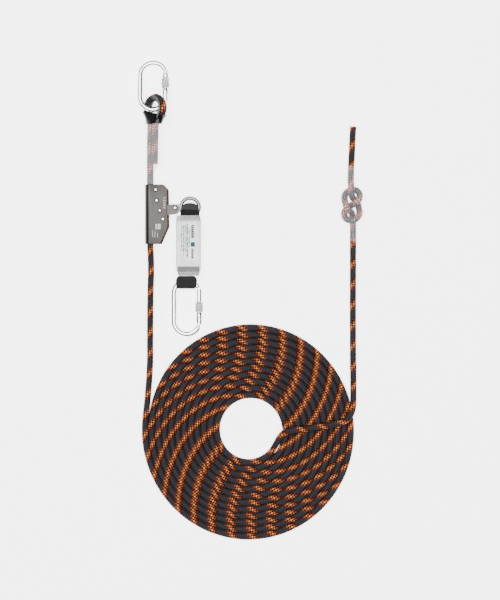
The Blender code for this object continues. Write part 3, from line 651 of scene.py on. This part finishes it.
def slab_mesh(outline, z0, z1, edge):
    """A plate of this outline whose top and bottom edges are rounded over by this much."""
    inward = offset_outline(outline, -edge)
    soft = offset_outline(outline, -edge * 0.3)
    levels = [(inward, z0), (soft, z0 + edge * 0.3), (outline, z0 + edge), (outline, z1 - edge)]
    levels += [(soft, z1 - edge * 0.3), (inward, z1)]
    return loft_mesh([[(x, y, z) for x, y in ring] for ring, z in levels])


def offset_outline(outline, distance):
    """The closed outline moved outward by this distance along its corner normals."""
    points = np.array(outline, dtype=float)
    following = np.roll(points, -1, axis=0)
    area = 0.5 * np.sum(points[:, 0] * following[:, 1] - following[:, 0] * points[:, 1])
    before = points - np.roll(points, 1, axis=0)
    after = following - points
    before /= np.linalg.norm(before, axis=1)[:, None]
    after /= np.linalg.norm(after, axis=1)[:, None]
    along = before + after
    along /= np.linalg.norm(along, axis=1)[:, None]
    normals = np.stack([along[:, 1], -along[:, 0]], axis=1) * np.sign(area)
    return [tuple(p) for p in points + normals * distance]


def moved(mesh, place):
    """The mesh carried by a matrix whose lengths are in millimetres."""
    mesh.transform(Matrix.Scale(MM, 4) @ place @ Matrix.Scale(1 / MM, 4))
    return mesh


# -------------------- carabiners

BAR_R = 5.0
BAR_SIDES = 28
END_R = 23.6
GATE_U = 22.8
PIVOT_RISE = 23.5
NOSE_DROP = 22.5
LUG_R = 3.0
UPPER_LENGTH = 99.5
UPPER_TILT = math.radians(10.5)
UPPER_WAIST = 27.0
LOWER_LENGTH = 108.0
LOWER_TILT = math.radians(1.6)
LOWER_WAIST = 17.5
LONG_WAIST = 20
SLEEVE_DROP = 3.9
BARREL_FOOT = 37.2
BARREL_R = 7.4
BARREL_STEPS = 40
KNURL_TURNS = 18
KNURL_DEPTH = 0.75


def upper_place():
    """Lying with its top end near the ground and its other end up in the eye."""
    rise = (UPPER_LENGTH / 2 - BAR_R) * math.sin(UPPER_TILT)
    return Matrix.Translation((5.4, 235.8, BAR_R + 0.3 + rise)) @ Matrix.Rotation(-UPPER_TILT, 4, "X")


def lower_place():
    """Lying turned over, with its bottom end near the ground."""
    rise = (LOWER_LENGTH / 2 - BAR_R) * math.sin(LOWER_TILT)
    tilt = Matrix.Rotation(LOWER_TILT, 4, "X") @ Matrix.Rotation(math.pi, 4, "X")
    return Matrix.Translation((67.1, -170.8, BAR_R + 1.6 + rise)) @ tilt


def make_frame(which, length, place, material):
    """An oval bar, open where the gate closes it, with the gate's lug and the tongue that catches it."""
    half = length / 2
    arc_v = half - BAR_R - END_R
    pivot = -half + PIVOT_RISE
    gate_end = half - NOSE_DROP
    low_v = -pivot + 5.5 - arc_v
    high_v = gate_end + 1.4 - arc_v
    first = -math.degrees(math.atan2(low_v, math.sqrt(END_R ** 2 - low_v ** 2)))
    last = math.degrees(math.atan2(high_v, math.sqrt(END_R ** 2 - high_v ** 2)))
    bar = circle_points(0, -arc_v, END_R, first, -180, 40)
    bar += circle_points(0, arc_v, END_R, 180, last + 9, 40)
    nose = circle_points(0, arc_v, END_R, last + 8, last, 4)
    radii = [BAR_R - 1.0, BAR_R - 0.3] + [BAR_R] * (len(bar) - 2)
    radii += [BAR_R - 1.2 * min(1, 0.4 + k / 2) for k in range(len(nose))]
    radii[-1] = BAR_R - 1.7
    line = [(u, v, 0) for u, v in bar + nose]
    meshes = [loft_mesh(tube_rings(line, radii, BAR_SIDES))]
    lug = circle_points(GATE_U, pivot, LUG_R, -6, 174, 14)
    lug += circle_points(GATE_U - 0.8, pivot - 7, LUG_R, 174, 354, 14)
    meshes.append(slab_mesh(lug, -2.1, 2.1, 0.3))
    tongue = rectangle(GATE_U + 1.5, gate_end - 3.2, GATE_U + 3.2, gate_end + 2.5)
    meshes.append(slab_mesh(tongue, -1.5, 1.5, 0.2))
    for mesh in meshes:
        moved(mesh, place)
    finished(f"{which}_carabiner_bar", meshes, material, f"{which}_carabiner",
             [f"{which}_frame"])


def barrel_low(end, waist):
    """Where the knurled barrel starts, which is higher when the sleeve's waist is long."""
    return end - waist - 0.5 if waist > LONG_WAIST else end - BARREL_FOOT


def sleeve_profile(end, waist):
    """Radius, height and whether it is knurled, up the sleeve: plain collar, knurled barrel, nut end. The one
    with the long waist has a groove in its collar, and the other has one in its nut end."""
    rows = [(5.25, end - 38, 0), (5.7, end - 37.9, 0), (5.9, end - 37.4, 0)]
    low = barrel_low(end, waist)
    barrel = 19.0
    if waist > LONG_WAIST:
        foot = end - BARREL_FOOT
        rows += [(5.9, foot + 3.4, 0), (5.5, foot + 3.7, 0), (5.5, foot + 4.6, 0), (5.9, foot + 4.9, 0)]
        rows += [(5.9, low - 0.9, 0), (5.5, low - 0.5, 0)]
        barrel = 18.4
    rows += [(6.9, low, 0), (7.3, low + 0.5, 0)]
    for k in range(BARREL_STEPS + 1):
        rows.append((BARREL_R, low + 0.8 + (barrel - 1.6) * k / BARREL_STEPS, 1))
    top = low + barrel
    rows += [(7.3, top - 0.5, 0), (6.9, top, 0), (5.7, top + 0.4, 0)]
    rows += [(5.5, top + 1.2, 0), (6.1, top + 1.8, 0)]
    if waist <= LONG_WAIST:
        rows += [(6.1, end - 9.8, 0), (5.5, end - 9.4, 0), (5.5, end - 8.4, 0), (6.1, end - 8.0, 0)]
    return rows + [(6.1, end - 1.6, 0), (5.9, end - 0.7, 0), (5.6, end - 0.1, 0), (5.25, end, 0)]


def make_screw_sleeve(which, length, place, waist, material, recess_shade_material):
    """The sleeve turned about the gate. Two crossing threads cut its knurl. Its hollows and grooves are
    painted darker as shade.
    """
    end = length / 2 - NOSE_DROP - SLEEVE_DROP
    along = place @ Matrix.Translation((GATE_U, 0, 0)) @ Matrix.Rotation(-math.pi / 2, 4, "X")
    sides = KNURL_TURNS * 6
    rings = []
    for r, height, knurl in sleeve_profile(end, waist):
        ring = []
        for k in range(sides):
            angle = 2 * math.pi * k / sides
            lean = height / BARREL_R
            ridges = abs(math.sin(KNURL_TURNS / 2 * (angle + lean)))
            ridges *= abs(math.sin(KNURL_TURNS / 2 * (angle - lean)))
            radius = r - KNURL_DEPTH * knurl * (1 - ridges)
            ring.append((radius * math.cos(angle), radius * math.sin(angle), height))
        rings.append(ring)
    mesh = moved(loft_mesh(rings, along=True), along)
    sleeve = finished(f"{which}_knurled_sleeve", [mesh], material, f"{which}_sleeve",
                      [f"{which}_screw_sleeve"], 50)
    sleeve.data.materials.append(recess_shade_material)
    low = barrel_low(end, waist)
    to_local = along.inverted()
    for face in sleeve.data.polygons:
        spot = to_local @ (face.center / MM)
        r = math.hypot(spot.x, spot.y)
        knurled = low + 1 < spot.z < low + 17.5 and r < BARREL_R - 0.5 * KNURL_DEPTH
        waisted = r < 5.62 and end - 37 < spot.z < end - 1
        # Knurl hollows and the narrow waist and grooves take the painted shade.
        if knurled or waisted:
            face.material_index = 1


# -------------------- eye: thimble and shrunk sleeves

LEAD_POINTS = 400
CHANNEL_OUT = 8.0
CHANNEL_IN = 6.35
CHANNEL_RIB = 0.28
CHANNEL_ROLL = 0.5
SKIRT_RIM = 185.0
SKIRT_RIM_SLOPE = -0.22
SKIRT_LOW = 165.6
SKIRT_ROWS = 12
HALF_STEPS = 14
FILM_OUT = 7.2
FILM_IN = 6.75
TAIL_END = 92.0
KNOT_SIDES = 22


def eye_frames():
    """Points round the eye with the outward direction from its middle, and the eye plane's normal."""
    route = evenly_smooth(eye_end_route(), 1.5)
    top = int(np.argmax(route[:, 1]))
    inside = [p for p in route[:top + LEAD_POINTS] if p[1] > NECK_Y + 8.0]
    normal = Vector((-math.sin(EYE_TURN), 0, math.cos(EYE_TURN)))
    found = []
    for before, p, after in zip(inside, inside[1:], inside[2:]):
        tangent = Vector(after - before).normalized()
        out = tangent.cross(normal).normalized()
        if out.dot(Vector(p) - EYE_PLACE) < 0:
            out = -out
        found.append((Vector(p), out))
    return found, normal


def make_thimble(material):
    """The ribbed channel inside the eye, with rolled edges, and the skirt round both strands below it."""
    found, normal = eye_frames()
    rings = []
    for step, (p, out) in enumerate(found):
        rib = CHANNEL_RIB if step % 4 < 2 else 0.0
        ring = []
        for degrees in range(-104, 105, 13):
            angle = math.radians(degrees)
            edge = CHANNEL_ROLL if abs(degrees) > 95 else 0.0
            r = CHANNEL_OUT + edge + rib * (abs(degrees) < 80)
            ring.append(p - out * (r * math.cos(angle)) + normal * (r * math.sin(angle)))
        for degrees in range(104, -105, -13):
            angle = math.radians(degrees)
            ring.append(p - out * (CHANNEL_IN * math.cos(angle)) + normal * (CHANNEL_IN * math.sin(angle)))
        rings.append(ring)
    channel = loft_mesh(rings)
    outer = [skirt_section(k / SKIRT_ROWS, 1.0, 9.0) for k in range(SKIRT_ROWS + 1)]
    inner = [skirt_section(k / SKIRT_ROWS, 0.94, 7.6) for k in range(SKIRT_ROWS + 1)]
    skirt = shell_mesh(outer, inner)
    finished("eye_thimble", [channel, skirt], material, "rope", ["thimble"], 50)


def skirt_section(t, wide, thick):
    """A rounded slot across the eye's plane, from the skirt's flared rim at t = 0 to its lower end at t = 1,
    flat where it meets the ground."""
    ring = []
    half = (24.5 - 9.0 * t ** 0.8) * (1.0 - 0.08 * math.sin(math.pi * t)) * wide
    for side in (1, -1):
        for k in range(HALF_STEPS + 1):
            angle = math.radians(-90 + 180 * k / HALF_STEPS)
            along = side * (half - thick + thick * math.cos(angle))
            across = side * thick * math.sin(angle)
            rim = SKIRT_RIM + SKIRT_RIM_SLOPE * along
            point = eye_point(along, across, rim + (SKIRT_LOW - rim) * t) + NECK_SHIFT * t
            reach = min(1.0, abs(along) / half)
            point.x += 3.4 * reach if side > 0 else -6.0 * reach * (1 - t) ** 1.3
            point.z = max(point.z, 0.4 + 0.1 * abs(math.cos(angle)))
            ring.append(point)
    return ring


def film_section(a, b, r):
    """The stretched outline round two strands that lie across the line."""
    heading = math.atan2(b[2] - a[2], b[0] - a[0])
    ring = []
    for centre, start in ((b, heading - math.pi / 2), (a, heading + math.pi / 2)):
        for k in range(HALF_STEPS + 1):
            angle = start + math.pi * k / HALF_STEPS
            ring.append((centre[0] + r * math.cos(angle), a[1], centre[2] + r * math.sin(angle)))
    return ring


def at_height(line, y):
    """The point of the line that is nearest this height."""
    return line[np.argmin(np.abs(line[:, 1] - y))].copy()


def make_eye_film(material):
    """Shrunk film over both strands from the skirt to the tail's blunt end, then over the one strand."""
    route = evenly_smooth(eye_end_route(), 1)
    top = int(np.argmax(route[:, 1]))
    tail = route[:top]
    lead = route[top:top + LEAD_POINTS]
    outer, inner = [], []
    for y in np.arange(168.5, 55.5, -1.5):
        main = at_height(lead, y)
        main[1] = y
        other = at_height(tail, max(y, TAIL_END))
        if y < 90:
            gap = other - at_height(lead, TAIL_END)
            other = main + gap * max(0.02, (y - 78) / 14)
        other[1] = y
        wrinkle = 0.12 * math.sin(y * 0.9) + 0.1 * math.sin(y * 2.3)
        outer.append(film_section(main, other, FILM_OUT + wrinkle))
        inner.append(film_section(main, other, FILM_IN + wrinkle))
    mesh = shell_mesh(outer, inner)
    return finished("eye_sleeve_film", [mesh], material, "rope", ["eye_sleeve"], 60)


def make_knot_film(material):
    """Shrunk film knotted together with the line."""
    route = evenly_smooth(return_route(), 1.6)
    held = [p for p in route if p[0] > RETURN_X + 10 and -50 < p[1] < 89]
    outer, inner = [], []
    for step, p in enumerate(held):
        ends = min(step, len(held) - 1 - step)
        spare = max(0.0, ROPE_R - ROPE_R_KNOT - ends * 0.1)
        ripple = 0.1 * math.sin(step * 1.1) + 0.08 * math.sin(step * 0.37)
        outer.append(ROPE_R_KNOT + 0.85 + spare + ripple)
        inner.append(ROPE_R_KNOT + 0.35 + spare + ripple)
    mesh = shell_mesh(tube_rings(held, outer, KNOT_SIDES), tube_rings(held, inner, KNOT_SIDES))
    return finished("knot_sleeve_film", [mesh], material, "rope", ["knot_sleeve"], 60)


# -------------------- housing

PLATE = 3.0
PLATE_LIP = 0.5
BACK_REACH = 3.4
CORNER_R = 9.0
FOLD_STEPS = 32
HOUSING_IN = 6.6
HOUSING_TOP = 54.8
HOUSING_BOTTOM = -54.3
STAMP_Z = 2 * ROPE_Z + 0.02
MARK_HEIGHT = 0.05
FOLD_DARK_REFLECTION_FACING = -0.72


def housing_edge(reach):
    """The right-hand outline of a housing plate, this much wider than the front one."""
    corner = circle_points(21.6 + reach, HOUSING_TOP - CORNER_R - reach, CORNER_R, 90, 0, 12)
    return corner + [(31.6 + reach, -22.8), (17.0 + reach * 1.2, HOUSING_BOTTOM)]


def make_housing(material):
    """A plate folded round the line, with a flat plate in front and a wider one behind. The fold's
    left-facing side carries a painted dark reflection in near black, and the back plate a dark brown painted
    shade."""
    outside = HOUSING_IN + PLATE
    rings = []
    for y, inset in ((HOUSING_BOTTOM, PLATE_LIP), (HOUSING_BOTTOM + 0.15, PLATE_LIP * 0.3),
                     (HOUSING_BOTTOM + PLATE_LIP, 0.0), (HOUSING_TOP - PLATE_LIP, 0.0),
                     (HOUSING_TOP - 0.15, PLATE_LIP * 0.3), (HOUSING_TOP, PLATE_LIP)):
        outer = circle_points(0, 0, outside - inset, 90, 270, FOLD_STEPS)
        inner = circle_points(0, 0, HOUSING_IN + inset, 270, 90, FOLD_STEPS)
        rings.append([(x, y, z + ROPE_Z) for x, z in outer + inner])
    meshes = [loft_mesh(rings)]
    for reach, z0 in ((0.0, ROPE_Z + HOUSING_IN), (BACK_REACH, ROPE_Z - outside)):
        outline = [(-0.4, HOUSING_BOTTOM), (-0.4, HOUSING_TOP)] + housing_edge(reach)
        meshes.append(slab_mesh(outline, z0, z0 + PLATE, PLATE_LIP))
    housing = finished("folded_housing", meshes, material, "grab", ["housing"], 30)
    # Painted dark reflection: near black on the fold's faces that turn to the left.
    housing.data.materials.append(plastic_material("fold_dark_reflection", (0.006, 0.006, 0.006), 0.35, 0.55))
    # Painted shade: dark brown on the back plate, where it shows past the front plate's edge.
    housing.data.materials.append(steel_material("back_plate_painted_shade", (0.035, 0.022, 0.016), 0.35, 0.5))
    for face in housing.data.polygons:
        # Faces of the fold turned left take the painted dark reflection.
        if face.normal.x < FOLD_DARK_REFLECTION_FACING and face.center.x < 0:
            face.material_index = 1
        # Back plate faces take the dark brown painted shade.
        elif face.center.z < ROPE_Z * MM and face.center.x > -0.5 * MM:
            face.material_index = 2


def flat_marks(name, shapes, z, material, body):
    """Thin flat shapes on a face: each is a closed outline."""
    meshes = []
    for shape in shapes:
        levels = [[(x, y, height) for x, y in shape] for height in (z, z + MARK_HEIGHT)]
        meshes.append(loft_mesh(levels))
    finished(name, meshes, material, body)


def make_housing_marks():
    """Stamped marks without meaning: a column of broken strokes, two of bars and three of short dashes."""
    shapes = []
    for k in range(5):
        y = 30.5 - 4.6 * k
        shapes.append(rectangle(24.4, y, 28.6 - 0.5 * (k % 3), y + 0.8))
        shapes.append(rectangle(24.4, y - 1.9, 25.2 + 0.6 * (k % 2), y - 0.4))
        shapes.append(rectangle(27.2 - 0.5 * (k % 2), y - 1.9, 28.0, y - 0.4))
    for k in range(4):
        shapes.append(rectangle(10.2, -27.2 + 2.6 * k, 13.4, -25.4 + 2.6 * k))
        shapes.append(rectangle(14.2, -27.2 + 2.6 * k, 19.6, -25.4 + 2.6 * k))
    for column in range(3):
        x = 4.6 + 4.4 * column
        for k in range(5 - column):
            shapes.append(rectangle(x, -42 + 2.8 * k, x + 0.9, -40.1 + 2.8 * k))
    stamp = plastic_material("stamped_marks", (0.62, 0.61, 0.6), 0.5, 0.7)
    flat_marks("housing_stamps", shapes, STAMP_Z, stamp, "grab")


# -------------------- energy absorber

PACK_X = 70.6
LOOP_X = 73.2
LABEL_Z = 18.0
TAPE_COLUMNS = 13
COVER_THICK = 0.5
COVER_CORNER = 3.0
RUNS = 5
RUN_GAP = 2.72
RUN_LOW = 4.7
UPPER_WIDTHS = ((-8, 33), (4, 34), (9, 33), (12, 32), (15, 29), (17.5, 25), (19.3, 19), (20, 13))
LOWER_WIDTHS = ((-136, 33), (-133, 36), (-128, 38.5), (-121, 38.5), (-116, 36), (-112.6, 27))
RUN_WIDTHS = ((-112.8, 35.4), (-104, 40.6), (-16, 41.4), (-12, 38.6))
KEEPER_ROWS = ((-3.6, 13.6, 3.4, 16.6), (-3.0, 16.0, 2.9, 17.2), (-1.4, 17.3, 2.6, 17.6),
               (3.0, 17.3, 2.6, 17.7), (6.4, 16.6, 2.8, 17.5), (8.4, 14.4, 3.4, 16.8))
PRINT_COLUMNS = ((57.6, 1.6, -22, -66), (60.7, 1.6, -20, -72), (63.8, 1.6, -20, -68),
                 (67.0, 2.6, -18, -80), (71.3, 1.6, -26, -58))


def tape_mesh(route, widths, thick, crown):
    """A woven tape along a route in the YZ plane. widths gives (y, width) pairs, and crown is how far the
    tape's middle rises above its sides."""
    line = np.array(route, dtype=float)
    tangents = np.gradient(line, axis=0)
    rings = []
    for p, tangent in zip(line, tangents):
        width = np.interp(p[1], *zip(*widths))
        flat = Vector((0, tangent[1], tangent[2])).normalized()
        normal = Vector((0, -flat.z, flat.y))
        top, bottom = [], []
        for k in range(TAPE_COLUMNS):
            u = 2 * k / (TAPE_COLUMNS - 1) - 1
            half = thick / 2 * (1 - abs(u) ** 6 * 0.7)
            rise = crown * (1 - u * u)
            base = Vector(p) + Vector((u * width / 2, 0, 0)) + normal * rise
            top.append(base + normal * half)
            bottom.append(base - normal * half)
        rings.append(top + bottom[::-1])
    return loft_mesh(rings)


def loop_route(x, root_y, fold_y, mid_z, reach, pull):
    """From the pack's end out, round a bar and back, as middle points of the tape. The bend leans by pull."""
    side = 1 if fold_y > root_y else -1
    bend_y = fold_y - side * reach
    upper = [(x, root_y + (bend_y - root_y) * k / 8, mid_z + reach) for k in range(9)]
    bend = []
    for k in range(1, 16):
        angle = math.radians(90 - 180 * k / 16)
        out = math.cos(angle)
        bend.append((x + pull * out, bend_y + side * reach * out, mid_z + reach * math.sin(angle)))
    lower = [(x, bend_y + (root_y - bend_y) * k / 8, mid_z - reach) for k in range(9)]
    return upper + bend + lower


def make_web_loops(upper_material, lower_material):
    """The loop that narrows in the link's ring, and the loop that the lower carabiner hangs in."""
    upper = loop_route(LOOP_X, -8.7, 20.0, 9.9, 5.25, 0.0)
    top = tape_mesh(upper, UPPER_WIDTHS, 2.2, 0.35)
    finished("top_webbing_loop", [top], upper_material, "absorber", ["top_loop"], 50)
    lower = loop_route(66.8, -113.1, -135.9, 9.6, 6.7, -1.4)
    bottom = tape_mesh(lower, LOWER_WIDTHS, 2.1, 0.35)
    finished("bottom_webbing_loop", [bottom], lower_material, "absorber", ["bottom_loop"], 50)


def make_keeper(material):
    """The band that gathers the upper loop where it enters the pack, drawn in at both edges."""
    rings = []
    for y, half, low, high in KEEPER_ROWS:
        box = rounded_box(half, low, high, 2.6)
        rings.append([(LOOP_X + x, y + 0.5 * math.sin(x * 0.4), z) for x, z in box])
    inner = []
    for ring in rings:
        inner.append([(LOOP_X + (x - LOOP_X) * 0.96, y, 10.1 + (z - 10.1) * 0.9) for x, y, z in ring])
    band = shell_mesh(rings, inner)
    finished("loop_keeper", [band], material, "absorber")


def rounded_corners(left, right, low, high, r):
    """A closed outline from quarter circles round these four corner middles."""
    outline = []
    for x, y, start in ((right, high, 0), (left, high, 90), (left, low, 180), (right, low, 270)):
        outline += circle_points(x, y, r, start, start + 90, 5)
    return outline


def rounded_box(half, low, high, r):
    return rounded_corners(r - half, half - r, low + r, high - r, r)


def make_pack(material):
    """The folded tear webbing as flat runs one on another, by turns longer and shorter."""
    meshes = []
    for k in range(RUNS):
        z = RUN_LOW + RUN_GAP * k
        upper_end = -13.4 if k % 2 else -12.2
        lower_end = -110.6 if k % 2 else -112.2
        route = [(PACK_X, upper_end + (lower_end - upper_end) * i / 30, z) for i in range(31)]
        meshes.append(tape_mesh(route, RUN_WIDTHS, 2.5, 0.0))
    finished("folded_webbing", meshes, material, "absorber", ["tear_webbing"], 50)


def make_cover(material):
    """The clear shrunk cover, drawn in at both ends and softly waved. Its sides and shoulders get a greyer,
    less clear film as painted edge shade.
    """
    stations = [(-2.0, 21.0, 1.4, 18.3), (-3.0, 21.4, 1.2, 18.5)]
    stations += [(-7.0, 22.0, 0.9, 19.2), (-12.0, 22.9, 0.45, 20.1)]
    for y in range(-18, -97, -4):
        stations.append((y, 22.75 + 0.2 * math.sin(y * 0.21), 0.45, 20.0 + 0.12 * math.sin(y * 0.33)))
    stations += [(-100.0, 22.8, 0.45, 20.1), (-105.0, 21.3, 0.6, 19.6)]
    stations += [(-110.0, 19.3, 0.8, 18.9), (-112.7, 18.5, 0.9, 18.5)]
    outer, inner = [], []
    for y, half, low, high in stations:
        for skin, inset in ((outer, 0.0), (inner, COVER_THICK)):
            box = rounded_box(half - inset, low + inset, high - inset, COVER_CORNER - inset)
            skin.append([(PACK_X + x, y, z) for x, z in box])
    shell = shell_mesh(outer, inner)
    cover = finished("clear_cover", [shell], material, "absorber", ["absorber_cover"], 60)
    # Painted shade: a darker, less clear film on the cover's sides and shoulders, where its edges are seen.
    cover.data.materials.append(clear_material("film_edge_painted_shade", (0.3, 0.31, 0.32), 0.5, 0.12, 0.9))
    for face in cover.data.polygons:
        shoulder = face.center.y > -12.5 * MM or face.center.y < -104 * MM
        if abs(face.normal.x) > 0.6 or shoulder:
            face.material_index = 1


def make_label():
    """White tape label with plain columns of dashes and one square block, all without meaning."""
    paper = plastic_material("label_paper", (0.9, 0.9, 0.9), 0.1, 0.18)
    base = slab_mesh(rounded_corners(52.5, 88.7, -93.4, -13.9, 2.4), 17.55, LABEL_Z, 0.1)
    finished("white_label", [base], paper, "absorber", ["label"])
    grey = plastic_material("label_grey_print", (0.02, 0.075, 0.105), 0.5, 0.6)
    teal = plastic_material("label_teal_print", (0.002, 0.032, 0.055), 0.5, 0.6)
    for ink in (grey, teal):
        ink.node_tree.nodes["Principled BSDF"].inputs["Specular IOR Level"].default_value = 0.1
    grey_shapes, teal_shapes = [], []
    for column, (x, width, y, last) in enumerate(PRINT_COLUMNS):
        step = 0
        while y > last:
            run = 3.2 + 2.4 * ((step * 7 + column * 5) % 3)
            grey_shapes.append(rectangle(x, y - run, x + width, y))
            y -= run + 1.1 + 0.5 * ((step + column) % 2)
            step += 1
    for k in range(7):
        y = -19.5 - 3.5 * k
        teal_shapes.append(rectangle(75.6, y - 3.0, 80.8, y))
    for k in range(6):
        y = -63 - 3.1 * k
        teal_shapes.append(rectangle(75.8, y - 2.6, 79.6 + 0.8 * (k % 2), y))
    teal_shapes.append(rectangle(74.7, -59.6, 82.4, -51.0))
    flat_marks("label_grey_marks", grey_shapes, LABEL_Z, grey, "absorber")
    flat_marks("label_teal_marks", teal_shapes, LABEL_Z, teal, "absorber")


def make_absorber():
    black = webbing_material("black_webbing", (0.012, 0.012, 0.013))
    grey_black = webbing_material("worn_black_webbing", (0.034, 0.033, 0.034))
    make_web_loops(grey_black, black)
    make_keeper(webbing_material("keeper_webbing", (0.004, 0.004, 0.0045)))
    make_pack(webbing_material("grey_webbing", (0.17, 0.175, 0.18)))
    make_label()
    make_cover(clear_material("clear_film", (0.9, 0.91, 0.92), 0.02, 0.1, 0.25))


# -------------------- the whole

make_camera()
make_stage()
rope, rope_path, rope_length = make_rope()
bright_zinc, brushed_plate, recess_painted_shade = dress_cad_nodes()
make_frame("upper", UPPER_LENGTH, upper_place(), bright_zinc)
make_frame("lower", LOWER_LENGTH, lower_place(), bright_zinc)
make_screw_sleeve("upper", UPPER_LENGTH, upper_place(), UPPER_WAIST, bright_zinc, recess_painted_shade)
make_screw_sleeve("lower", LOWER_LENGTH, lower_place(), LOWER_WAIST, bright_zinc, recess_painted_shade)
make_thimble(plastic_material("thimble_black", (0.005, 0.005, 0.0055), 0.12, 0.2))
eye_film = make_eye_film(clear_material("frosted_film", (0.4, 0.395, 0.4), 0.1, 0.3, 0.3))
knot_film = make_knot_film(clear_material("tight_film", (0.6, 0.6, 0.605), 0.09, 0.1, 1.0))
make_housing(brushed_plate)
make_absorber()
make_housing_marks()
